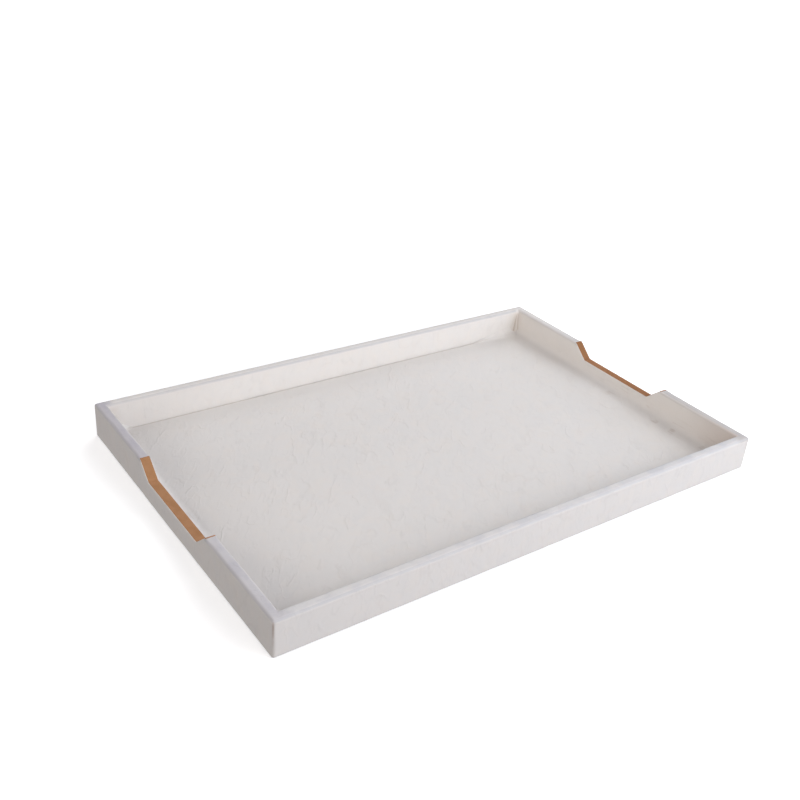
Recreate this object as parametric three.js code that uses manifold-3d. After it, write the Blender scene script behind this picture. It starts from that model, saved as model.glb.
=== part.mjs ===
// Dresser vanity tray: a board-and-wall carcass covered in crinkled faux leather, with a copper-lined
// hand notch in each short wall. Millimetres; X runs along the length, Y from front to back, Z up.
// The origin is under the centre of the tray, on the surface it stands on.
import * as THREE from "three";
import { mergeVertices } from "three/addons/utils/BufferGeometryUtils.js";
import Module from "manifold-3d";

const wasm = await Module();
wasm.setup();

// Driving dimensions
const LENGTH = 450; // outside, along X
const DEPTH = 300; // outside, along Y
const HEIGHT = 30; // rim above the table
const WALL = 8.4; // rim width, leather included
const LEATHER = 0.7; // faux leather thickness
const CORNER_R = 2; // outside vertical corners
const RIM_R = 1.6; // long edges of the rim
const SKIRT_R = 0.9; // lower outside edge
const FELT = 0.5; // felt under the tray
const FELT_INSET = 6; // felt edge in from the outside faces
const TURN_IN = 15; // leather folded under the base board
const BASE = 1.8; // base board
const CARD = 0.7; // card of the floor insert
const INSERT_GAP = 0.4; // floor insert to the walls
const GLUE = 0.1; // glue line between boards, and under the leather
const SEAM = 0.15; // each wrap stops this far short of its mitre plane

// Hand notch, measured on the visible face of its copper lining
const NOTCH_TOP = 110; // length at the rim
const NOTCH_BOTTOM = 82; // length of the flat
const NOTCH_DROP = 12.4; // flat below the rim
const TRIM = 0.8; // copper strip thickness
const BEND_R = 1.2; // inside radius of the strip's two bends

// Brads: length, shank, head, and where they go
const BRAD_R = 0.6;
const BRAD_HEAD_R = 1.1;
const BRAD_HEAD = 0.5;
const BRAD_CLEAR = 0.1; // pilot hole over the brad, all round
const CORNER_BRAD = 24; // length
const CORNER_BRAD_HEIGHTS = { lower: 9, upper: 22 };
const BASE_BRAD = 15; // length
const BASE_BRADS_LONG = [-140, 0, 140]; // along each long wall
const BASE_BRADS_SHORT = [-95, 95]; // along each short wall

// Levels above the table
const WRAP_FOOT = FELT;
const BASE_FOOT = WRAP_FOOT + LEATHER;
const BASE_TOP = BASE_FOOT + BASE;
const FLOOR = BASE_TOP + CARD + LEATHER;
const LONG_EDGE = 40; // overshoot of cutting solids past what they cut

const ARC_STEPS = 6; // facets in each quarter round
const BRAD_FACETS = 20;

const leather = new THREE.MeshStandardMaterial({ color: 0xdad8d7, roughness: 0.55, metalness: 0 });
const copper = new THREE.MeshStandardMaterial({ color: 0xb98a63, roughness: 0.32, metalness: 1 });
const board = new THREE.MeshStandardMaterial({ color: 0xa9845a, roughness: 0.85, metalness: 0 });
const hardboard = new THREE.MeshStandardMaterial({ color: 0x7b5a3c, roughness: 0.8, metalness: 0 });
const card = new THREE.MeshStandardMaterial({ color: 0x9b968c, roughness: 0.95, metalness: 0 });
const felt = new THREE.MeshStandardMaterial({ color: 0x8d8a86, roughness: 1, metalness: 0 });
const steel = new THREE.MeshStandardMaterial({ color: 0x9c9c9c, roughness: 0.35, metalness: 1 });

const tray = new THREE.Group();
tray.name = "dresser_vanity_tray";

const solid = (geometry) => {
  const bare = new THREE.BufferGeometry();
  const plain = geometry.index ? geometry.toNonIndexed() : geometry;
  bare.setAttribute("position", plain.getAttribute("position"));
  const merged = mergeVertices(bare, 1e-4);
  return new wasm.Manifold(
    new wasm.Mesh({
      numProp: 3,
      vertProperties: merged.attributes.position.array,
      triVerts: new Uint32Array(merged.index.array),
    }),
  );
};

const add = (name, made, material) => {
  const mesh = made.getMesh();
  const geometry = new THREE.BufferGeometry();
  geometry.setAttribute("position", new THREE.BufferAttribute(mesh.vertProperties, 3));
  geometry.setIndex(new THREE.BufferAttribute(mesh.triVerts, 1));
  geometry.computeVertexNormals();
  const part = new THREE.Mesh(geometry, material);
  part.name = name;
  tray.add(part);
};

const slab = (length, depth, from, to) =>
  solid(new THREE.BoxGeometry(length, depth, to - from).translate(0, 0, (from + to) / 2));

// A rectangle with rounded corners, set in from the tray's outside faces, between two levels
const roundedSlab = (inset, radius, from, to) => {
  const x = LENGTH / 2 - inset;
  const y = DEPTH / 2 - inset;
  const shape = new THREE.Shape();
  shape.absarc(x - radius, y - radius, radius, 0, Math.PI / 2);
  shape.absarc(radius - x, y - radius, radius, Math.PI / 2, Math.PI);
  shape.absarc(radius - x, radius - y, radius, Math.PI, Math.PI * 1.5);
  shape.absarc(x - radius, radius - y, radius, Math.PI * 1.5, Math.PI * 2);
  shape.closePath();
  const settings = { depth: to - from, bevelEnabled: false, curveSegments: ARC_STEPS };
  return solid(new THREE.ExtrudeGeometry(shape, settings).translate(0, 0, from));
};

// A section drawn inwards (x) and upwards (y) from a wall's outside face, run along that wall.
// mitre shortens each end by the distance inwards plus that much.
const along = (shape, run, mitre) => {
  const settings = { depth: run, bevelEnabled: false, curveSegments: ARC_STEPS };
  const geometry = new THREE.ExtrudeGeometry(shape, settings);
  const at = geometry.getAttribute("position");
  for (let i = 0; i < at.count; i++) {
    const inwards = at.getX(i);
    const u = at.getZ(i) - run / 2;
    const shorter = mitre === null ? 0 : inwards + mitre;
    at.setXYZ(i, u - Math.sign(u) * shorter, inwards, at.getY(i));
  }
  return geometry;
};

// The four walls: how a section run along +X at the front is turned and moved into place
const walls = {
  front: { run: LENGTH, place: (g) => g.translate(0, -DEPTH / 2, 0) },
  back: { run: LENGTH, place: (g) => g.rotateZ(Math.PI).translate(0, DEPTH / 2, 0) },
  left: { run: DEPTH, place: (g) => g.rotateZ(-Math.PI / 2).translate(-LENGTH / 2, 0, 0) },
  right: { run: DEPTH, place: (g) => g.rotateZ(Math.PI / 2).translate(LENGTH / 2, 0, 0) },
};
const hasNotch = (side) => side === "left" || side === "right";

// A wall's full section, set in from its faces, with its top edges rounded
const wallSection = (inset, foot, footRadius, width = WALL) => {
  const near = inset;
  const far = width - inset;
  const top = HEIGHT - inset;
  const r = RIM_R - inset;
  const shape = new THREE.Shape();
  shape.moveTo(far, foot);
  shape.lineTo(far, top - r);
  shape.absarc(far - r, top - r, r, 0, Math.PI / 2);
  shape.lineTo(near + r, top);
  shape.absarc(near + r, top - r, r, Math.PI / 2, Math.PI);
  if (footRadius) {
    const centre = foot + footRadius;
    shape.absarc(near + footRadius, centre, footRadius, Math.PI, Math.PI * 1.5);
  } else shape.lineTo(near, foot);
  shape.closePath();
  return shape;
};

// The whole tray as one block with rounded corners and top edges, set in from its outside faces
const envelope = (inset, foot) => {
  const across = along(wallSection(inset, foot, 0, DEPTH), LENGTH, null);
  const lengthways = along(wallSection(inset, foot, 0, LENGTH), DEPTH, null);
  return solid(walls.front.place(across))
    .intersect(solid(walls.left.place(lengthways)))
    .intersect(roundedSlab(inset, CORNER_R - inset, foot, HEIGHT));
};

// The notch outline, grown outwards from the lining's visible face, as points across the wall
const slope = Math.atan2(NOTCH_DROP, (NOTCH_TOP - NOTCH_BOTTOM) / 2);
const notchOutline = (grow, top) => {
  const flat = HEIGHT - NOTCH_DROP;
  const arcY = NOTCH_BOTTOM / 2 - BEND_R * Math.tan(slope / 2);
  const arcZ = flat + BEND_R;
  const half = [];
  for (let i = 0; i <= ARC_STEPS; i++) {
    const turn = -Math.PI / 2 + (slope * i) / ARC_STEPS;
    const r = BEND_R + grow;
    half.push([arcY + r * Math.cos(turn), arcZ + r * Math.sin(turn)]);
  }
  half.push([NOTCH_BOTTOM / 2 + (top - flat) / Math.tan(slope) + grow / Math.sin(slope), top]);
  const mirrored = half.map(([y, z]) => [-y, z]).reverse();
  return [...mirrored, ...half].map(([y, z]) => new THREE.Vector2(y, z));
};

// A prism across a short wall, from the tray's outside face inwards
const acrossWall = (points, from, to, side) => {
  const shape = new THREE.Shape(points);
  const geometry = new THREE.ExtrudeGeometry(shape, { depth: to - from, bevelEnabled: false });
  const at = geometry.getAttribute("position");
  for (let i = 0; i < at.count; i++) {
    at.setXYZ(i, at.getX(i), at.getZ(i) + from, at.getY(i));
  }
  const index = [...Array(at.count).keys()];
  for (let i = 0; i < at.count; i += 3) {
    [index[i + 1], index[i + 2]] = [index[i + 2], index[i + 1]];
  }
  geometry.setIndex(index);
  return solid(walls[side].place(geometry));
};

const notchCut = (grow, side) =>
  acrossWall(notchOutline(grow, HEIGHT + LONG_EDGE), -LONG_EDGE, WALL + LONG_EDGE, side);

// Leather wraps: over the rim, down both faces, and folded under the base board
const wrapOf = (side) => {
  const { run, place } = walls[side];
  let block = solid(place(along(wallSection(0, WRAP_FOOT, SKIRT_R), run, SEAM)));
  const tuck = new THREE.Shape([
    new THREE.Vector2(WALL / 2, WRAP_FOOT),
    new THREE.Vector2(TURN_IN, WRAP_FOOT),
    new THREE.Vector2(TURN_IN, BASE_FOOT),
    new THREE.Vector2(WALL / 2, BASE_FOOT),
  ]);
  let cavity = solid(place(along(wallSection(LEATHER, BASE_FOOT, 0), run, null)));
  if (hasNotch(side)) {
    block = block.subtract(notchCut(TRIM, side));
    cavity = cavity.subtract(notchCut(TRIM + LEATHER, side));
  }
  const boardRoom = roundedSlab(LEATHER, CORNER_R - LEATHER, BASE_FOOT, BASE_TOP);
  return block
    .intersect(roundedSlab(0, CORNER_R, 0, HEIGHT + 1))
    .subtract(cavity.intersect(envelope(LEATHER, BASE_FOOT)))
    .add(solid(place(along(tuck, run, SEAM))))
    .subtract(boardRoom);
};

// Brads: a shank with a flat head, pointing along +Z from the origin
const bradSolid = (length, clear) => {
  const r = BRAD_R + clear;
  const headR = BRAD_HEAD_R + clear;
  const profile = [
    [0, 0],
    [headR, 0],
    [headR, BRAD_HEAD + clear],
    [r, BRAD_HEAD + clear],
    [r, length - r],
    [0, length + clear],
  ].map(([x, y]) => new THREE.Vector2(x, y));
  return new THREE.LatheGeometry(profile, BRAD_FACETS).rotateX(Math.PI / 2);
};

const wallMid = WALL / 2;
const brads = [];
for (const [end, x] of Object.entries({ left: wallMid - LENGTH / 2, right: LENGTH / 2 - wallMid })) {
  for (const [level, z] of Object.entries(CORNER_BRAD_HEIGHTS)) {
    const y = DEPTH / 2 - LEATHER - GLUE;
    brads.push({
      name: `corner_brad_front_${end}_${level}`,
      length: CORNER_BRAD,
      place: (g) => g.rotateX(-Math.PI / 2).translate(x, -y, z),
    });
    brads.push({
      name: `corner_brad_back_${end}_${level}`,
      length: CORNER_BRAD,
      place: (g) => g.rotateX(Math.PI / 2).translate(x, y, z),
    });
  }
  BASE_BRADS_SHORT.forEach((y, i) =>
    brads.push({
      name: `base_brad_${end}_${i + 1}`,
      length: BASE_BRAD,
      place: (g) => g.translate(x, y, BASE_FOOT),
    }),
  );
}
for (const [edge, y] of Object.entries({ front: wallMid - DEPTH / 2, back: DEPTH / 2 - wallMid })) {
  BASE_BRADS_LONG.forEach((x, i) =>
    brads.push({
      name: `base_brad_${edge}_${i + 1}`,
      length: BASE_BRAD,
      place: (g) => g.translate(x, y, BASE_FOOT),
    }),
  );
}
const holes = brads.map(({ length, place }) => solid(place(bradSolid(length, BRAD_CLEAR))));
const drilled = (made) => holes.reduce((left, hole) => left.subtract(hole), made);

// Wall cores: the long pair runs the full length, the short pair is butted between them
const coreInset = LEATHER + GLUE;
const coreBounds = envelope(coreInset, BASE_TOP);
const coreOf = (side) => {
  const { run, place } = walls[side];
  const length = hasNotch(side) ? run - 2 * (WALL - LEATHER) : run;
  let core = solid(place(along(wallSection(coreInset, BASE_TOP, 0), length, null)));
  if (hasNotch(side)) core = core.subtract(notchCut(TRIM + coreInset, side));
  return drilled(core.intersect(coreBounds));
};

for (const side of Object.keys(walls)) {
  add(`${side}_wall_core`, coreOf(side), board);
  add(`${side}_leather_wrap`, wrapOf(side), leather);
}

// Base board under the walls
const baseInset = LEATHER + GLUE;
add(
  "base_board",
  drilled(roundedSlab(baseInset, CORNER_R - baseInset, BASE_FOOT, BASE_TOP)),
  hardboard,
);

// Floor insert: a card with leather over its face and edges
const insertLength = LENGTH - 2 * (WALL + INSERT_GAP);
const insertDepth = DEPTH - 2 * (WALL + INSERT_GAP);
const cardLength = insertLength - 2 * LEATHER;
const cardDepth = insertDepth - 2 * LEATHER;
add("floor_card", slab(cardLength, cardDepth, BASE_TOP, BASE_TOP + CARD), card);
add(
  "floor_leather",
  slab(insertLength, insertDepth, BASE_TOP, FLOOR).subtract(
    slab(cardLength, cardDepth, BASE_TOP - 1, BASE_TOP + CARD),
  ),
  leather,
);

// Felt under the tray: laps the folded leather and fills the space inside it
const feltFill = TURN_IN + INSERT_GAP;
add(
  "felt_liner",
  roundedSlab(FELT_INSET, CORNER_R, 0, FELT).add(
    slab(LENGTH - 2 * feltFill, DEPTH - 2 * feltFill, FELT / 2, BASE_FOOT),
  ),
  felt,
);

// Copper notch linings: one flat strip with two bends, its ends flush with the rim
for (const side of ["left", "right"]) {
  const lower = notchOutline(TRIM, HEIGHT);
  const upper = notchOutline(0, HEIGHT).reverse();
  add(`${side}_notch_trim`, acrossWall([...lower, ...upper], 0, WALL, side), copper);
}

for (const { name, length, place } of brads) add(name, solid(place(bradSolid(length, 0))), steel);

export default tray;
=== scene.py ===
"""Dresser vanity tray: crinkled faux leather over board, copper notch linings, felt underneath.

Metres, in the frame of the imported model: X along the tray, Y from front to back, Z up.
"""

import math

import bmesh
import bpy
from mathutils import Matrix, Vector, noise


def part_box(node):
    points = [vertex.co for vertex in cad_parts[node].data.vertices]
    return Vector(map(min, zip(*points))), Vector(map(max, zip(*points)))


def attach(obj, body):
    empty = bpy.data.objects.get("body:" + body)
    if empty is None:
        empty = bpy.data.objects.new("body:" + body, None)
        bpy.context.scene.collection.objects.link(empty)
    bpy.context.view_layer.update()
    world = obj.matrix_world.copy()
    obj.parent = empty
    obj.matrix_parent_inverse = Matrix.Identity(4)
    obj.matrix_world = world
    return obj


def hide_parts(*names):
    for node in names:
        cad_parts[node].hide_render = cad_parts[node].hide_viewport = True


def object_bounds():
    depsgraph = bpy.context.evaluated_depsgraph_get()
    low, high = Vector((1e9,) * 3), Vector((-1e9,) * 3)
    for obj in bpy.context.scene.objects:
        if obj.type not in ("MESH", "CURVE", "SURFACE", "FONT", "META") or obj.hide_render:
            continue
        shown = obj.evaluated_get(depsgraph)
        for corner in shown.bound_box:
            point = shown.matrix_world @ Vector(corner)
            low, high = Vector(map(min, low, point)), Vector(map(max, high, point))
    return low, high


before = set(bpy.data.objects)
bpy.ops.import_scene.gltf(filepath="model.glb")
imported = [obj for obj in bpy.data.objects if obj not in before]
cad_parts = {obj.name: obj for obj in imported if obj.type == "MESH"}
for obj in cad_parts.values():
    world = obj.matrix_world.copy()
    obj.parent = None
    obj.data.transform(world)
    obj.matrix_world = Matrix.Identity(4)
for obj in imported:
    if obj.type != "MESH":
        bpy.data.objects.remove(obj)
cad_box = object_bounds()

MM = 0.001

# ---- Sizes, from the frame ---------------------------------------------------------------------

low, high = cad_box
HALF_X = high.x
HALF_Y = high.y
RIM = high.z
trim_low, trim_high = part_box("left_notch_trim")
WALL = trim_high.x - trim_low.x
NOTCH_LOW = trim_low.z  # underside of the copper's flat
NOTCH_HALF = trim_high.y  # underside of the copper, where it meets the rim
wrap_low, wrap_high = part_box("front_leather_wrap")
WRAP_FOOT = wrap_low.z
TURN_IN = wrap_high.y - wrap_low.y
floor_low, floor_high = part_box("floor_leather")
BOARD_TOP = floor_low.z
FLOOR = floor_high.z
felt_low, felt_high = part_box("felt_liner")

INNER_X = HALF_X - WALL
INNER_Y = HALF_Y - WALL

QUARTER = math.pi / 2

LEATHER = 0.7 * MM
RIM_R = 2.3 * MM  # the rim's long edges
BRINK_R = 1.5 * MM  # rim edges beside the ends of the copper
NOTCH_R = 0.7 * MM  # leather edges along the copper
SKIRT_R = 0.9 * MM  # lower outside edge
CORNER_R = 2.0 * MM  # upright outside corners
CORNER_LAP = 0.4 * MM  # how far each lining runs on behind its neighbour
NOTCH_SLOPE = math.atan2(12.4, 14.0)  # the notch's ends fall 12.4 mm in a run of 14 mm
COPPER = 0.8 * MM
PRESSED_IN = COPPER - 0.15 * MM  # how deep the copper sits in the leather
COPPER_INSET = 0.6 * MM  # leather lip showing on each side of the copper
BEND = 0.9 * MM  # how far each of the copper's two bends reaches along it
EASED = 0.14 * MM  # the copper's eased edges
PLEAT = 10 * MM  # width, at the floor, of the loose fold in the back right inside corner
PINCHES = (0.62, 0.22)  # where the fold is pinched in, as shares of its width from the corner
PINCH = 1.3 * MM  # how deep those pinches go
COVE = 11 * MM  # radius of the floor leather where it runs up into the end walls
COVE_TUCK = 0.03 * MM  # how far its ends reach behind the face of the end walls
COVE_CREASE = 0.40 * MM  # depth of the long wrinkles in the coves
POCKET = 8 * MM  # radius of the floor leather in the inside corners
SMALL_POCKET = 22 * MM  # how far a corner's rounding runs along the wall
POCKET_REACH = {(1, 1): 62 * MM}  # the same for the back right corner, by X and Y side
EDGE_ROLL = 0.5 * MM  # how far the floor sheet's edge stands out as it turns down
FRONT_GAP = 0.45 * MM  # between the floor sheet's front edge and the wall
BACK_GAP = 0.15 * MM
LOOSE_SPOT = 141 * MM  # X of the place where the back edge has lifted off

MESH = 0.95 * MM  # spacing of the wall leather's mesh
FLOOR_MESH = 1.15 * MM
WALL_GRAIN = (1.1, 1.1, 1.8)  # how much the crinkle is drawn out along each axis
WALL_RIDGE, WALL_SWELL = 0.10 * MM, 0.09 * MM  # depth of its creases and height of its swell
FLOOR_GRAIN = (1.0, 2.1, 1.0)
FLOOR_RIDGE, FLOOR_SWELL = 0.12 * MM, 0.10 * MM
FLOOR_GRAIN_TURN = math.radians(-42)  # the floor's crinkle runs to the right of straight back
ROOM = 6.0  # half the width of the surroundings


# ---- Small helpers -----------------------------------------------------------------------------


def smooth_step(low_edge, high_edge, value):
    """0 at low_edge and 1 at high_edge, which may be the smaller of the two."""
    share = min(1.0, max(0.0, (value - low_edge) / (high_edge - low_edge)))
    return share * share * (3 - 2 * share)


def soft_min(a, b, blend):
    near = max(blend - abs(a - b), 0.0) / blend
    return min(a, b) - near * near * blend / 4


def tone(red, green, blue):
    """An sRGB colour, 0 to 255, as linear light."""
    def linear(channel):
        share = channel / 255
        return share / 12.92 if share <= 0.04045 else ((share + 0.055) / 1.055) ** 2.4

    return (linear(red), linear(green), linear(blue), 1.0)


def new_object(name, mesh_maker, material):
    """An object in the scene, its mesh filled in by mesh_maker."""
    bm = bmesh.new()
    mesh_maker(bm)
    mesh = bpy.data.meshes.new(name)
    bm.to_mesh(mesh)
    bm.free()
    mesh.materials.append(material)
    made = bpy.data.objects.new(name, mesh)
    bpy.context.scene.collection.objects.link(made)
    return made


def new_piece(name, mesh_maker, material, replaces):
    """A smooth shaded piece, riding on the tray in place of its CAD node."""
    piece = new_object(name, mesh_maker, material)
    piece.data.shade_smooth()
    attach(piece, "root")
    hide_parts(replaces)
    return piece


# ---- Materials ---------------------------------------------------------------------------------


class Value:
    """A number or colour on its way through a material. Arithmetic on it adds Math nodes."""

    def __init__(self, finish, socket):
        self.finish = finish
        self.socket = socket

    def maths(self, operation, *terms):
        return self.finish.node("ShaderNodeMath", {"operation": operation}, dict(enumerate(terms)))

    def __add__(self, other):
        return self.maths("ADD", self, other)

    def __radd__(self, other):
        return self.maths("ADD", other, self)

    def __sub__(self, other):
        return self.maths("SUBTRACT", self, other)

    def __rsub__(self, other):
        return self.maths("SUBTRACT", other, self)

    def __mul__(self, other):
        return self.maths("MULTIPLY", self, other)

    def __rmul__(self, other):
        return self.maths("MULTIPLY", other, self)

    def __truediv__(self, other):
        return self.maths("DIVIDE", self, other)

    def __abs__(self):
        return self.maths("ABSOLUTE", self)

    def band(self, start, end):
        """0 up to start and 1 from end on, or the other way round where start is above end."""
        settings = {"interpolation_type": "SMOOTHSTEP"}
        if start < end:
            places = {"Value": self, "From Min": start, "From Max": end, "To Min": 0, "To Max": 1}
        else:
            places = {"Value": self, "From Min": end, "From Max": start, "To Min": 1, "To Max": 0}
        return self.finish.node("ShaderNodeMapRange", settings, places)


class Finish:
    """A material being put together. Distances in its patterns are in metres."""

    def __init__(self, name):
        self.material = bpy.data.materials.new(name)
        self.material.use_nodes = True
        self.tree = self.material.node_tree
        self.shader = self.tree.nodes["Principled BSDF"]
        self.place = self.node("ShaderNodeTexCoord", output="Object")

    def node(self, kind, settings=None, inputs=None, output=0):
        made = self.tree.nodes.new(kind)
        for name, value in (settings or {}).items():
            setattr(made, name, value)
        for name, value in (inputs or {}).items():
            self.connect(made.inputs[name], value)
        return Value(self, made.outputs[output])

    def connect(self, place, value):
        if isinstance(value, Value):
            self.tree.links.new(value.socket, place)
        else:
            place.default_value = value

    def put(self, **values):
        """Sets or links the shader's own sockets, named with _ for a space."""
        for name, value in values.items():
            self.connect(self.shader.inputs[name.replace("_", " ")], value)

    def drawn_out(self, lengths, turn=0.0):
        """Object coordinates for a pattern lengthened along each axis, then turned about Z."""
        inputs = {"Vector": self.place, "Scale": lengths, "Rotation": (0, 0, turn)}
        return self.node("ShaderNodeMapping", {"vector_type": "TEXTURE"}, inputs)

    def clouds(self, size, place=None, detail=2.0, roughness=0.5, distortion=0.0):
        """Noise from 0 to 1 whose blotches are about size across."""
        inputs = {
            "Vector": place or self.place,
            "Scale": 1 / size,
            "Detail": detail,
            "Roughness": roughness,
            "Distortion": distortion,
        }
        return self.node("ShaderNodeTexNoise", None, inputs)

    def warped(self, place, size, by):
        """place pushed about by up to by, in swirls about size across."""
        inputs = {"Vector": place, "Scale": 1 / size, "Detail": 2.0}
        swirl = self.node("ShaderNodeTexNoise", None, inputs, output="Color")
        centred = self.node(
            "ShaderNodeVectorMath", {"operation": "SUBTRACT"}, {0: swirl, 1: (0.5, 0.5, 0.5)}
        )
        pushed = self.node(
            "ShaderNodeVectorMath", {"operation": "SCALE"}, {0: centred, "Scale": 2 * by}
        )
        return self.node("ShaderNodeVectorMath", {"operation": "ADD"}, {0: place, 1: pushed})

    def wandering_lines(self, size, place, width):
        """1 on thin wandering lines, where slow noise crosses its middle, and 0 away from them."""
        level = self.clouds(size, place, detail=1.0)
        return abs(level - 0.5).band(width, 0.0)

    def mix(self, share, first, second):
        inputs = {0: share, 6: first, 7: second}
        return self.node("ShaderNodeMix", {"data_type": "RGBA"}, inputs, output=2)

    def axis(self, name):
        return self.node("ShaderNodeSeparateXYZ", None, {0: self.place}, output=name)

    def bump(self, height, depth, normal=None):
        """A normal from height, 0 to 1, which stands depth metres high, laid over another."""
        inputs = {"Height": height, "Distance": depth, "Strength": 1.0}
        if normal:
            inputs["Normal"] = normal
        return self.node("ShaderNodeBump", None, inputs)


def leather_finish(name, grain, turn, relief):
    """Off-white crinkled faux leather, its crinkle drawn out by grain along axes turned about Z.

    relief is the depth of its creases. Gives back its colour too, for more to be laid over it."""
    finish = Finish(name)
    along = finish.drawn_out(grain, turn)
    wandering = finish.warped(along, 5 * MM, 1.6 * MM)
    patches = finish.clouds(30 * MM, detail=1.0).band(0.36, 0.56)
    broken = finish.clouds(8 * MM, along, detail=1.0).band(0.38, 0.54)
    ridges = finish.wandering_lines(15 * MM, wandering, 0.050) * patches * broken
    fine_ridges = finish.wandering_lines(7 * MM, wandering, 0.075) * broken
    crumple = finish.clouds(5 * MM, wandering, detail=3.0, roughness=0.5)
    pores = finish.clouds(0.8 * MM, detail=2.0)
    warm = finish.clouds(11 * MM, detail=3.0, distortion=0.6).band(0.42, 0.66)
    cool = finish.clouds(14 * MM, wandering, detail=3.0, distortion=0.6).band(0.44, 0.66)

    colour = finish.mix(warm, tone(230, 226, 222), tone(231, 226, 221))
    colour = finish.mix(cool * 0.5, colour, tone(227, 224, 221))
    # Crease lines painted a little darker: painted shade in the creases
    colour = finish.mix(ridges * 0.10, colour, tone(206, 199, 193))
    colour = finish.mix(fine_ridges * 0.05, colour, tone(206, 200, 195))
    roughness = 0.58 + 0.06 * warm - 0.05 * ridges

    normal = finish.bump(pores, 0.010 * MM)
    normal = finish.bump(crumple, relief, normal)
    normal = finish.bump(fine_ridges, 0.45 * relief, normal)
    normal = finish.bump(ridges, 1.05 * relief, normal)
    finish.put(Base_Color=colour, Roughness=roughness, Normal=normal)
    finish.put(IOR=1.45, Specular_IOR_Level=0.15)
    return finish, colour


def right_end_light_and_shade(finish, colour, where):
    """The inside of the right wall: painted paler than the rest as painted light, with a brown cast
    by its front end as painted shade.
    """
    y = finish.axis("Y")
    # Painted light: the whole face made paler
    colour = finish.mix(where * 0.6, colour, tone(240, 234, 228))
    # Painted shade: a brown cast towards the front end
    front = y.band(-0.5 * HALF_Y, -1.05 * HALF_Y)
    return finish.mix(where * front * 0.9, colour, tone(214, 202, 194))


def floor_finish():
    """Floor leather with painted light along the back, painted shade at its back seam, in its end
    wrinkles and towards its ends, and painted light and shade where it rises into the right wall.
    """
    finish, colour = leather_finish(
        "floor_leather_crinkle", FLOOR_GRAIN, FLOOR_GRAIN_TURN, 0.16 * MM
    )
    x, y, z = (finish.axis(name) for name in "XYZ")

    # The flat, along its back edge: painted light beside the wall and a thin line of painted shade
    # in the seam's crevice
    flat = z.band(FLOOR + 1.5 * MM, FLOOR + 0.6 * MM)
    # Painted light on the flat beside the back wall, against the shade at its foot
    painted_back_light = y.band(INNER_Y - 30 * MM, INNER_Y - 4 * MM) * flat
    colour = finish.mix(painted_back_light * 0.7, colour, tone(241, 237, 232))
    # A thin line of painted shade in the crevice where the floor meets the back wall
    seam = y.band(INNER_Y - 1.9 * MM, INNER_Y - 1.2 * MM) * flat
    colour = finish.mix(seam * 0.28, colour, tone(172, 152, 134))

    # The coves at both ends: painted shade in their wrinkles and on the flat towards them, and
    # painted light and shade on the right one
    wrinkles = finish.wandering_lines(5 * MM, finish.drawn_out((1, 16, 1)), 0.07)
    wrinkles = wrinkles * finish.clouds(14 * MM, detail=1.0).band(0.50, 0.60)
    near = abs(x).band(INNER_X - 15 * MM, INNER_X - 9 * MM) * y.band(0.3 * INNER_Y, -0.2 * INNER_Y)
    # Painted shade in the cove wrinkles
    colour = finish.mix(wrinkles * near * 0.4, colour, tone(168, 146, 126))
    # Painted shade on the flat towards both ends
    ends = abs(x).band(0.6 * INNER_X, INNER_X) * z.band(FLOOR + 5 * MM, FLOOR + 1 * MM)
    colour = finish.mix(ends * 0.4, colour, tone(213, 208, 203))
    # Painted light and shade where the floor rises into the right wall
    risen = x.band(INNER_X - 10 * MM, INNER_X - 4 * MM) * z.band(FLOOR + 1 * MM, FLOOR + 6 * MM)
    colour = right_end_light_and_shade(finish, colour, risen)
    finish.put(Base_Color=colour)
    return finish.material


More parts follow.
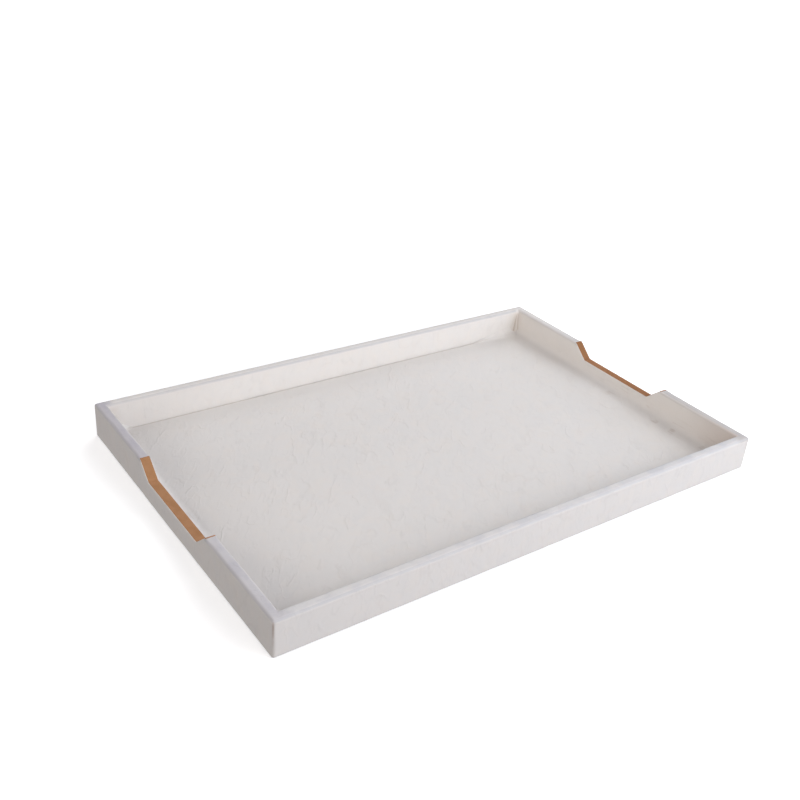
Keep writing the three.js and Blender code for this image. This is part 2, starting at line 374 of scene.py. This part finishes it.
def wall_finish():
    """Wall leather with rims greyed by wear and painted shade, most on the left one, scuffed
    corners and painted shade in the folds.
    """
    finish, colour = leather_finish("wall_leather", WALL_GRAIN, 0.0, 0.10 * MM)
    x, y, z = (finish.axis(name) for name in "XYZ")

    # Rims: greyed towards the front, and the left and right ones more, partly by handling and
    # partly as painted shade
    top = z.band(RIM - 1.8 * MM, RIM - 0.5 * MM)
    rubbed = finish.clouds(8 * MM, finish.drawn_out((1.7, 1.7, 1.0)), detail=3.0).band(0.38, 0.66)
    near = y.band(0.8 * HALF_Y, -0.2 * HALF_Y) * (0.7 + 0.3 * x.band(0.2 * HALF_X, HALF_X))
    colour = finish.mix(top * near * (0.4 + 0.6 * rubbed), colour, tone(205, 204, 207))
    # The left rim greyed further: painted shade, mottled by handling wear
    left = x.band(2 * WALL - HALF_X, 0.8 * WALL - HALF_X) * top
    greyed = 0.5 + 0.2 * rubbed + 0.3 * y.band(-0.6 * HALF_Y, 0.6 * HALF_Y)
    colour = finish.mix(left * greyed, colour, tone(196, 192, 198))
    # The right rim's front part painted brown: painted shade
    right = x.band(HALF_X - 2 * WALL, HALF_X - WALL) * z.band(RIM - 2.6 * MM, RIM - 1.6 * MM)
    colour = finish.mix(right * near * 0.6, colour, tone(188, 181, 175))
    # Painted shade on the rounded rim edges, dimming their bright line
    edge = z.band(RIM - 2.3 * MM, RIM - 1.0 * MM) * z.band(RIM - 0.10 * MM, RIM - 0.28 * MM)
    colour = finish.mix(edge * 0.6, colour, tone(200, 198, 200))

    # Inside faces: painted shade in the corners, painted light and shade on the right end, and
    # painted shade darkening the left end
    # Painted shade in the inside corners, below the rim
    fold = abs(x).band(INNER_X - 12 * MM, INNER_X - 1 * MM)
    fold = fold * abs(y).band(INNER_Y - 9 * MM, INNER_Y - 1 * MM)
    fold = fold * z.band(RIM - 1 * MM, RIM - 6 * MM)
    inside = abs(x).band(INNER_X + 2 * MM, INNER_X + 1 * MM)
    inside = inside * abs(y).band(INNER_Y + 2 * MM, INNER_Y + 1 * MM)
    colour = finish.mix(fold * inside * 0.35, colour, tone(205, 188, 168))
    # Painted light and shade on the right end's inside face
    colour = right_end_light_and_shade(finish, colour, inside * x.band(INNER_X - 4 * MM, INNER_X - 2 * MM))
    # Painted shade darkening the left end's inside faces
    left_end_shade = x.band(-0.4 * HALF_X, -0.95 * HALF_X) * inside
    colour = finish.mix(left_end_shade * 0.5, colour, tone(212, 207, 203))

    # The loose fold's pinches, which narrow towards the rim with it, painted darker as painted
    # shade in them
    width = PLEAT * (1 - 0.8 * (z - FLOOR) / (RIM - FLOOR))
    across = (INNER_X - x) / width
    pinched = abs(across - PINCHES[0]).band(0.13, 0.04) + abs(across - PINCHES[1]).band(0.11, 0.03)
    pinched = pinched * inside * y.band(INNER_Y - 9 * MM, INNER_Y - 6 * MM)
    pinched = pinched * z.band(RIM - 2 * MM, RIM - 5 * MM)
    colour = finish.mix(pinched * 0.3, colour, tone(158, 128, 100))

    # Upright outside corners, worn brown
    corner = abs(x).band(HALF_X - 1.5 * MM, HALF_X - 0.7 * MM)
    corner = corner * abs(y).band(HALF_Y - 1.5 * MM, HALF_Y - 0.7 * MM)
    high = z.band(0.1 * RIM, RIM - 4 * MM) * z.band(RIM - 0.3 * MM, RIM - 1.5 * MM)
    worn = finish.clouds(6 * MM, detail=3.0).band(0.35, 0.65)
    colour = finish.mix(corner * high * (0.2 + 0.3 * worn), colour, tone(165, 132, 116))
    finish.put(Base_Color=colour)
    return finish.material


def copper_finish():
    """Satin copper plate with a fine brushed grain along the strip and a little tarnish, the right
    strip painted darker as painted shade.
    """
    finish = Finish("copper_trim")
    brushed = finish.clouds(0.35 * MM, finish.drawn_out((1, 25, 25)), detail=2.0)
    tarnish = finish.clouds(9 * MM, detail=3.0).band(0.4, 0.7)
    colour = finish.mix(tarnish, tone(188, 140, 100), tone(182, 134, 94))
    colour = finish.mix(brushed.band(0.35, 0.75) * 0.2, colour, tone(200, 154, 114))
    # The right strip painted darker: painted shade, the same metal as the left
    right = finish.axis("X").band(-0.5 * HALF_X, 0.5 * HALF_X)
    colour = finish.mix(right * 0.85, colour, tone(152, 104, 66))
    roughness = 0.55 + 0.08 * tarnish + 0.05 * brushed
    normal = finish.bump(brushed, 0.004 * MM)
    finish.put(Base_Color=colour, Roughness=roughness, Normal=normal)
    finish.put(Metallic=0.6, Specular_IOR_Level=0.3)
    return finish.material


def felt_finish():
    """Warm grey pressed felt."""
    finish = Finish("grey_felt")
    fibres = finish.clouds(0.5 * MM, finish.drawn_out((1, 4, 1)), detail=3.0, distortion=1.5)
    across = finish.clouds(0.5 * MM, finish.drawn_out((4, 1, 1)), detail=3.0, distortion=1.5)
    fuzz = fibres * 0.5 + across * 0.5
    blotches = finish.clouds(18 * MM, detail=2.0)
    colour = finish.mix(fuzz.band(0.3, 0.7), tone(118, 113, 108), tone(158, 153, 147))
    colour = finish.mix(blotches.band(0.4, 0.7) * 0.3, colour, tone(128, 124, 120))
    normal = finish.bump(fuzz, 0.25 * MM)
    finish.put(Base_Color=colour, Roughness=0.95, Normal=normal)
    finish.put(Sheen_Weight=0.3, Sheen_Roughness=0.5, Specular_IOR_Level=0.2)
    return finish.material


def board_finish(name, dark, light, fibre):
    """Raw pressed fibreboard or card, with flecks about fibre long."""
    finish = Finish(name)
    flecks = finish.clouds(fibre, detail=4.0, roughness=0.7, distortion=0.6)
    blotches = finish.clouds(25 * MM)
    colour = finish.mix(flecks.band(0.3, 0.7), dark, light)
    colour = finish.mix(blotches * 0.3, colour, dark)
    normal = finish.bump(flecks, 0.08 * MM)
    finish.put(Base_Color=colour, Roughness=0.85 - 0.1 * flecks, Normal=normal)
    return finish.material


def steel_finish():
    """Bright drawn wire."""
    finish = Finish("brad_steel")
    drawn = finish.clouds(0.3 * MM, finish.drawn_out((1, 1, 10)), detail=2.0)
    colour = finish.mix(drawn, tone(150, 150, 152), tone(176, 176, 178))
    roughness = 0.3 + 0.15 * drawn
    normal = finish.bump(drawn, 0.01 * MM)
    finish.put(Base_Color=colour, Roughness=roughness, Normal=normal, Metallic=1.0)
    return finish.material


wall_leather = wall_finish()
floor_leather = floor_finish()
copper = copper_finish()
felt = felt_finish()
fibreboard = board_finish("raw_fibreboard", tone(140, 108, 74), tone(186, 152, 112), 1.2 * MM)
hardboard = board_finish("raw_hardboard", tone(92, 66, 44), tone(132, 98, 66), 1.0 * MM)
grey_card = board_finish("grey_card", tone(128, 124, 116), tone(170, 166, 158), 0.8 * MM)
steel = steel_finish()

CARRIED = {
    "wall_core": fibreboard,
    "base_board": hardboard,
    "floor_card": grey_card,
    "brad": steel,
}
for node_name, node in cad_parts.items():
    for words, material in CARRIED.items():
        if words in node_name:
            node.data.materials.clear()
            node.data.materials.append(material)


# ---- Leather geometry --------------------------------------------------------------------------

noise.seed_set(7)  # the noise vectors below differ from run to run without it


def crease(place, size, width):
    """1 along thin wandering creases, where slow noise crosses zero, falling to 0 beside them."""
    share = noise.noise(place / size) / width
    return math.exp(-share * share)


def crinkle(point, grain, turn, ridge, swell):
    """How far crushed leather stands proud at a point: broken creases on a slow swell.

    ridge is the depth of the creases and swell the height of the swell, in metres."""
    place = Matrix.Rotation(-turn, 3, "Z") @ point
    place = Vector(spot / length for spot, length in zip(place, grain))
    wandered = place + noise.noise_vector(place / (11 * MM)) * (3 * MM)
    patch = smooth_step(-0.10, 0.35, noise.noise(point / (32 * MM)))
    broken = smooth_step(-0.25, 0.20, noise.noise(place / (9 * MM)))
    sharp = crease(wandered, 15 * MM, 0.12) * patch * broken
    shallow = crease(wandered.yzx, 10 * MM, 0.20) * (1 - patch)
    slow = noise.noise(place / (24 * MM)) + 0.8 * noise.noise(point / (70 * MM))
    return swell * slow - ridge * (sharp + 0.4 * shallow)


def rim_height(along):
    """Leather beside the copper, or the rim beyond it, at a distance along a short wall."""
    brink = NOTCH_HALF - PRESSED_IN / math.sin(NOTCH_SLOPE)
    down = (brink - abs(along)) * math.tan(NOTCH_SLOPE)
    down = soft_min(max(down, 0.0), RIM - NOTCH_LOW - PRESSED_IN, 0.6 * MM)
    return RIM - down


def wrap_section(bm):
    """The wrap's outside line: from its fold under the board up, over the rim, and down."""
    corners = [
        (TURN_IN, WRAP_FOOT),
        (0.0, WRAP_FOOT),
        (0.0, RIM),
        (WALL, RIM),
        (WALL, BOARD_TOP),
    ]
    verts = [bm.verts.new((0.0, inwards, up)) for inwards, up in corners]
    for start, end in zip(verts, verts[1:]):
        bmesh.ops.contextual_create(bm, geom=[start, end])
    for picked, radius in ((verts[1:2], SKIRT_R), (verts[2:4], RIM_R)):
        bmesh.ops.bevel(
            bm, geom=picked, offset=radius, affect="VERTICES", segments=5, profile=0.5, material=-1
        )
    for edge in [e for e in bm.edges if e.calc_length() > 2 * MESH]:
        cuts = round(edge.calc_length() / MESH) - 1
        bmesh.ops.subdivide_edges(bm, edges=[edge], cuts=cuts)


def shaped(inwards, up, top, radius):
    """A point of the section moved to a rim of another height and edge radius."""
    shoulder = RIM - RIM_R
    if up <= shoulder:
        share = (up - WRAP_FOOT) / (shoulder - WRAP_FOOT)
        return inwards, WRAP_FOOT + share * (top - radius - WRAP_FOOT)
    raised = top - radius + (up - shoulder) / RIM_R * radius
    if inwards < RIM_R:
        return radius - (RIM_R - inwards) / RIM_R * radius, raised
    if inwards > WALL - RIM_R:
        return WALL - radius + (inwards - WALL + RIM_R) / RIM_R * radius, raised
    share = (inwards - RIM_R) / (WALL - 2 * RIM_R)
    return radius + share * (WALL - 2 * radius), top


def rounded_corner(across, inwards, half):
    """A point near an outside corner, moved from a square corner to a round one."""
    centre = half - CORNER_R
    beyond = abs(across) - centre
    depth = CORNER_R - inwards
    if beyond <= 0 or depth <= 0:
        return across, inwards
    reach = max(beyond, depth) / math.hypot(beyond, depth)
    return math.copysign(centre + beyond * reach, across), CORNER_R - depth * reach


def pleat(across, up, half, widths):
    """How far a wall's lining stands off the wall in the loose fold at an inside corner."""
    width = widths[0] if across < 0 else widths[1]
    from_corner = half - WALL - abs(across)
    share = (up - FLOOR) / (RIM - FLOOR)
    width *= 1 - 0.8 * share
    stand = -0.75 * soft_min(from_corner - width, 0.0, 1.2 * MM)
    pinched = sum(math.exp(-(((from_corner - at * width) / MM) ** 2)) for at in PINCHES)
    return stand - min(PINCH, 0.5 * stand) * smooth_step(0.95, 0.7, share) * pinched


def wrap_skin(bm, half, place, notched, pleats):
    """One wall's leather, mitred at both ends and crushed. Its thickness comes after."""
    wrap_section(bm)
    steps = round(2 * half / MESH)
    bmesh.ops.translate(bm, verts=bm.verts[:], vec=(-half, 0, 0))
    bmesh.ops.spin(
        bm,
        geom=bm.verts[:] + bm.edges[:],
        cent=(0, 0, 0),
        axis=(0, 0, 1),
        dvec=(2 * half / steps, 0, 0),
        angle=0,
        steps=steps,
        use_merge=False,
        use_duplicate=False,
    )
    for vert in bm.verts:
        across, inwards, up = vert.co
        lining = up > BOARD_TOP - 0.01 * MM and inwards > WALL - 0.01 * MM
        across *= (half - inwards + (CORNER_LAP if lining else 0.0)) / half
        if notched and inwards <= WALL + 0.01 * MM:
            top = rim_height(across)
            edge_radius = NOTCH_R + (BRINK_R - NOTCH_R) * smooth_step(-1 * MM, 0, top - RIM)
            edge_radius += (RIM_R - BRINK_R) * smooth_step(0, 9 * MM, abs(across) - NOTCH_HALF)
            inwards, up = shaped(inwards, up, top, edge_radius)
        if lining and not notched:
            inwards += pleat(across, up, half, pleats)
        across, inwards = rounded_corner(across, inwards, half)
        vert.co = (across, inwards, up)
    bmesh.ops.transform(bm, matrix=place, verts=bm.verts[:])
    bmesh.ops.recalc_face_normals(bm, faces=bm.faces[:])
    crush(bm, notched)
    for edge in bm.edges:
        edge.smooth = not edge.is_boundary


def crush(bm, notched):
    """Moves wall leather out along its normals, easing off at seams, under copper and below."""
    bm.normal_update()
    moves = []
    for vert in bm.verts:
        x, y, z = vert.co
        depth = min(HALF_X - abs(x), HALF_Y - abs(y))
        seam = abs((HALF_X - abs(x)) - (HALF_Y - abs(y)))
        held = smooth_step(0.2 * MM, 6 * MM, seam)
        if notched and abs(y) < NOTCH_HALF + 1 * MM:
            held *= smooth_step(0.2 * MM, 3 * MM, rim_height(y) - z)
        if notched and depth > WALL / 2:
            held *= smooth_step(0.6 * COVE, 1.4 * COVE, z - FLOOR)
        if z < WRAP_FOOT + 0.1 * MM:
            held = 0.0
        proud = held * crinkle(vert.co, WALL_GRAIN, 0.0, WALL_RIDGE, WALL_SWELL)
        outer_edge = (depth < 1 * MM) * smooth_step(1.0 * MM, 4 * MM, RIM - z)
        dip = 0.03 * MM * (1 - smooth_step(0.0, 0.9 * MM, seam)) * outer_edge
        moves.append(vert.normal * (proud - dip))
    for vert, move in zip(bm.verts, moves):
        vert.co += move


def thickened(piece):
    """Gives a leather skin its thickness, inwards."""
    solid = piece.modifiers.new("thickness", "SOLIDIFY")
    solid.thickness = LEATHER
    solid.offset = -1.0
    return piece


# half the wall's length, the middle of its foot, its turn, and the widths of its end folds
WRAPS = {
    "front": (HALF_X, (0, -HALF_Y, 0), 0, (5 * MM, 6 * MM)),
    "back": (HALF_X, (0, HALF_Y, 0), 2 * QUARTER, (PLEAT, 2.5 * MM)),
    "left": (HALF_Y, (-HALF_X, 0, 0), -QUARTER, None),
    "right": (HALF_Y, (HALF_X, 0, 0), QUARTER, None),
}
for side, (half, foot, turn, pleats) in WRAPS.items():
    place = Matrix.Translation(foot) @ Matrix.Rotation(turn, 4, "Z")
    wrap = new_piece(
        f"{side}_wrap_leather",
        lambda bm: wrap_skin(bm, half, place, pleats is None, pleats),
        wall_leather,
        f"{side}_leather_wrap",
    )
    thickened(wrap)


def pocket(point):
    """1 in an inside corner, easing to 0 along the front and back walls."""
    sides = (1 if point.x > 0 else -1, 1 if point.y > 0 else -1)
    reach = POCKET_REACH.get(sides, SMALL_POCKET)
    return 1 - smooth_step(0.25 * reach, reach, INNER_X - abs(point.x))


def sheet_edge(point):
    """How far from the middle the floor leather's front or back edge lies, beside a point."""
    gap = FRONT_GAP
    if point.y > 0:
        gap = BACK_GAP + 0.5 * MM * smooth_step(-0.5 * HALF_X, -0.3 * HALF_X, point.x)
        lifted = (point.x - LOOSE_SPOT) / (4.5 * MM)
        gap += 0.7 * MM * math.exp(-(lifted ** 4))
    gap += 0.12 * MM * noise.noise(point / (7 * MM))
    tucked = min(1.0, 3 * pocket(point))
    return INNER_Y - (1 - tucked) * (gap + EDGE_ROLL) + tucked * 0.1 * MM


def curled(along, half, radius):
    """Where a point of a sheet lands, and how high, once the sheet's edge curls up."""
    flat = half - radius
    if radius <= 0 or abs(along) <= flat:
        return along, 0.0
    turn = (abs(along) - flat) / radius * QUARTER
    return math.copysign(flat + radius * math.sin(turn), along), radius * (1 - math.cos(turn))


def cove_wrinkle(point):
    """Long wrinkles in the leather where it runs up into an end wall, most towards the front."""
    near = smooth_step(INNER_X - 16 * MM, INNER_X - 8 * MM, abs(point.x))
    if near <= 0:
        return 0.0
    place = Vector((point.x, point.y * 0.22, point.z))
    patch = smooth_step(-0.1, 0.3, noise.noise(point / (18 * MM)))
    return near * patch * crease(place, 5 * MM, 0.22) * smooth_step(0.8, -0.6, point.y / INNER_Y)


def floor_sheet(bm):
    """The floor's leather: crushed, curling up into the end walls and corners, flat underneath."""
    wide = 2 * (INNER_X + COVE_TUCK)
    deep = floor_high.y - floor_low.y
    columns, rows = round(wide / FLOOR_MESH), round(deep / FLOOR_MESH)
    bmesh.ops.create_grid(bm, x_segments=columns, y_segments=rows, size=0.5)
    bmesh.ops.scale(bm, vec=(wide, deep, 1), verts=bm.verts[:])
    for vert in bm.verts:
        half_deep = sheet_edge(vert.co)
        x, end_rise = curled(vert.co.x, wide / 2, COVE)
        y, side_rise = curled(vert.co.y * half_deep * 2 / deep, half_deep, POCKET * pocket(vert.co))
        vert.co = (x, y, FLOOR + math.hypot(end_rise, side_rise))
    bm.normal_update()
    moves = []
    for vert in bm.verts:
        edge = min(INNER_X - abs(vert.co.x), INNER_Y - abs(vert.co.y))
        held = 0.15 + 0.85 * smooth_step(0.0, 7 * MM, edge)
        proud = held * crinkle(
            vert.co, FLOOR_GRAIN, FLOOR_GRAIN_TURN, FLOOR_RIDGE, FLOOR_SWELL
        )
        proud -= COVE_CREASE * cove_wrinkle(vert.co) * smooth_step(0.3 * MM, 1.5 * MM, edge)
        moves.append(vert.normal * proud)
    for vert, move in zip(bm.verts, moves):
        vert.co += move
    turned_down(bm)


def turned_down(bm):
    """Rolls the open edge of the floor leather over and closes the sheet underneath."""
    rim = [e for e in bm.edges if e.is_boundary]
    far_x = INNER_X - 0.1 * MM
    for edge in rim:
        edge.smooth = any(abs(v.co.x) < far_x for v in edge.verts)
    rolls = ((0.30 * MM, 0.10 * MM), (0.17 * MM, 0.30 * MM), (0.03 * MM, 0.9 * MM))
    for out, down in rolls:
        made = bmesh.ops.extrude_edge_only(bm, edges=rim)["geom"]
        ring = [v for v in made if isinstance(v, bmesh.types.BMVert)]
        rim = [e for e in made if isinstance(e, bmesh.types.BMEdge) and e.is_boundary]
        for vert in ring:
            x, y, z = vert.co
            at_end = abs(x) > far_x
            at_side = abs(y) > INNER_Y - 3 * MM
            vert.co.x += math.copysign(out, x) * at_end
            vert.co.y += math.copysign(out, y) * at_side
            vert.co.z = max(BOARD_TOP, z - down)
    for vert in ring:
        vert.co.z = BOARD_TOP
    bmesh.ops.contextual_create(bm, geom=rim)
    bmesh.ops.recalc_face_normals(bm, faces=bm.faces[:])


new_piece("floor_leather_sheet", floor_sheet, floor_leather, "floor_leather")


# ---- Copper, felt ------------------------------------------------------------------------------


def copper_strip(bm, side):
    """A flat strip with two bends, its ends flush with the rim and its edges eased."""
    foot = NOTCH_LOW + COPPER
    over = RIM + 2 * MM
    flat = NOTCH_HALF - (RIM - NOTCH_LOW) / math.tan(NOTCH_SLOPE)
    flat = flat - COPPER * math.tan(NOTCH_SLOPE / 2)
    reach = flat + (over - foot) / math.tan(NOTCH_SLOPE)
    near = side * (HALF_X - COPPER_INSET)
    line = [(-reach, over), (-flat, foot), (flat, foot), (reach, over)]
    verts = [bm.verts.new((near, along, up)) for along, up in line]
    for start, end in zip(verts, verts[1:]):
        bmesh.ops.contextual_create(bm, geom=[start, end])
    bmesh.ops.bevel(
        bm, geom=verts[1:3], offset=BEND, affect="VERTICES", segments=6, profile=0.5, material=-1
    )
    made = bmesh.ops.extrude_edge_only(bm, edges=bm.edges[:])["geom"]
    far = [v for v in made if isinstance(v, bmesh.types.BMVert)]
    bmesh.ops.translate(bm, verts=far, vec=(-side * (WALL - 2 * COPPER_INSET), 0, 0))
    bmesh.ops.recalc_face_normals(bm, faces=bm.faces[:])
    if bm.faces[0].normal.z < 0:
        bmesh.ops.reverse_faces(bm, faces=bm.faces[:])
    bmesh.ops.solidify(bm, geom=bm.faces[:], thickness=COPPER)
    geometry = bm.verts[:] + bm.edges[:] + bm.faces[:]
    top = RIM + 0.1 * MM
    bmesh.ops.bisect_plane(
        bm, geom=geometry, plane_co=(0, 0, top), plane_no=(0, 0, 1), clear_outer=True
    )
    bmesh.ops.holes_fill(bm, edges=[e for e in bm.edges if e.is_boundary], sides=0)
    sharp = [e for e in bm.edges if e.is_manifold and e.calc_face_angle() > math.radians(35)]
    bmesh.ops.bevel(
        bm, geom=sharp, offset=EASED, affect="EDGES", segments=3, profile=0.5, material=-1
    )
    bmesh.ops.recalc_face_normals(bm, faces=bm.faces[:])
    for edge in bm.edges:
        edge.smooth = edge.calc_face_angle() < math.radians(12)


for side_name, side in (("left", -1), ("right", 1)):
    new_piece(
        f"{side_name}_copper_strip",
        lambda bm: copper_strip(bm, side),
        copper,
        f"{side_name}_notch_trim",
    )


def felt_pad(bm):
    """The felt underneath: a soft-edged slab with rounded corners."""
    wide = felt_high.x - felt_low.x
    deep = felt_high.y - felt_low.y
    bmesh.ops.create_grid(bm, x_segments=180, y_segments=120, size=0.5)
    bmesh.ops.scale(bm, vec=(wide - 1 * MM, deep - 1 * MM, 1), verts=bm.verts[:])
    bmesh.ops.translate(bm, vec=(0, 0, felt_low.z), verts=bm.verts[:])
    bmesh.ops.reverse_faces(bm, faces=bm.faces[:])
    for vert in bm.verts:
        vert.co.z += 0.05 * MM * (1 + noise.noise(vert.co / (6 * MM)))
    rim = [e for e in bm.edges if e.is_boundary]
    for out, up in ((0.3 * MM, 0.08 * MM), (0.2 * MM, 0.15 * MM), (0.0, 0.22 * MM)):
        made = bmesh.ops.extrude_edge_only(bm, edges=rim)["geom"]
        ring = [v for v in made if isinstance(v, bmesh.types.BMVert)]
        rim = [e for e in made if isinstance(e, bmesh.types.BMEdge) and e.is_boundary]
        for vert in ring:
            for axis, half in enumerate((wide / 2 - 0.5 * MM, deep / 2 - 0.5 * MM)):
                if abs(vert.co[axis]) >= half - 0.01 * MM:
                    vert.co[axis] += math.copysign(out, vert.co[axis])
            vert.co.z += up
    bmesh.ops.contextual_create(bm, geom=rim)
    bmesh.ops.recalc_face_normals(bm, faces=bm.faces[:])


new_piece("felt_pad", felt_pad, felt, "felt_liner")


# ---- Stage, light and camera -------------------------------------------------------------------


def stage_piece(name, mesh_maker, material):
    """Part of the white surroundings: seen by the camera, but no light comes back off it."""
    made = new_object(name, mesh_maker, material)
    made.visible_diffuse = False
    made.visible_glossy = False
    return made


def white_table():
    """A pale table top that glows to plain white away from the tray."""
    finish = Finish("white_table")
    away = finish.node("ShaderNodeVectorMath", {"operation": "LENGTH"}, {0: finish.place}, output=1)
    glow = away.band(0.2, 0.7)
    emission = finish.mix(glow, (0.45, 0.45, 0.45, 1), (1, 1, 1, 1))
    finish.put(Base_Color=(0.9, 0.9, 0.9, 1), Roughness=0.9, Specular_IOR_Level=0.1)
    finish.put(Emission_Color=emission, Emission_Strength=1.0)
    return finish.material


def white_wall():
    """The plain white beyond the table."""
    finish = Finish("white_wall")
    finish.put(Base_Color=(0.9, 0.9, 0.9, 1), Roughness=0.9, Specular_IOR_Level=0.0)
    finish.put(Emission_Color=(1, 1, 1, 1), Emission_Strength=1.0)
    return finish.material


def table_top(bm):
    bmesh.ops.create_grid(bm, x_segments=4, y_segments=4, size=ROOM)


def room_dome(bm):
    bmesh.ops.create_uvsphere(bm, u_segments=32, v_segments=16, radius=ROOM)
    bmesh.ops.reverse_faces(bm, faces=bm.faces[:])


def softbox(name, azimuth, elevation, distance, watts, colour):
    """A square soft light aimed at the tray. Azimuth 0 is in front of it and 90 to its right."""
    across, up = math.radians(azimuth), math.radians(elevation)
    towards = Vector(
        (math.sin(across) * math.cos(up), -math.cos(across) * math.cos(up), math.sin(up))
    )
    light = bpy.data.lights.new(name, "AREA")
    light.shape = "SQUARE"
    light.size = 0.9
    light.energy = watts
    light.color = colour
    lamp = bpy.data.objects.new(name, light)
    lamp.location = towards * distance
    lamp.rotation_euler = (-towards).to_track_quat("-Z", "Y").to_euler()
    bpy.context.scene.collection.objects.link(lamp)


def pale_world(strength, colour):
    world = bpy.data.worlds.new("pale_room")
    world.use_nodes = True
    background = world.node_tree.nodes["Background"]
    background.inputs["Color"].default_value = colour
    background.inputs["Strength"].default_value = strength
    bpy.context.scene.world = world


def camera():
    """Front left of the tray, looking down on it, with a slight roll."""
    at = Vector((-0.4488, -0.5602, 0.4439))
    aim = Vector((0.0498, 0.0649, 0.0044))
    roll = math.radians(5.457)
    data = bpy.data.cameras.new("camera")
    data.sensor_width = 36.0
    data.lens = 45.43
    data.shift_x = -0.0375
    data.clip_start = 0.01
    data.clip_end = 50.0
    made = bpy.data.objects.new("camera", data)
    turn = (aim - at).to_track_quat("-Z", "Y").to_matrix().to_4x4()
    made.matrix_world = Matrix.Translation(at) @ turn @ Matrix.Rotation(roll, 4, "Z")
    bpy.context.scene.collection.objects.link(made)
    bpy.context.scene.camera = made


stage_piece("white_table", table_top, white_table())
stage_piece("white_dome", room_dome, white_wall()).visible_shadow = False
softbox("front_light", 15, 20, 1.1, 6.6, (1.0, 0.977, 0.977))
softbox("front_right_light", 55, 20, 1.1, 4.3, (0.78, 0.874, 1.0))
softbox("front_high_light", 35, 45, 1.5, 4.55, (0.96, 0.992, 1.0))
softbox("left_light", -60, 25, 1.5, 3.8, (1.0, 0.966, 0.866))
softbox("left_back_light", -110, 25, 1.5, 5.1, (1.0, 0.95, 0.875))
softbox("back_right_light", 140, 40, 1.5, 7.6, (1.0, 1.0, 1.0))
pale_world(0.2, (0.84, 0.835, 0.985, 1.0))
bpy.context.scene.view_settings.view_transform = "Standard"
camera()
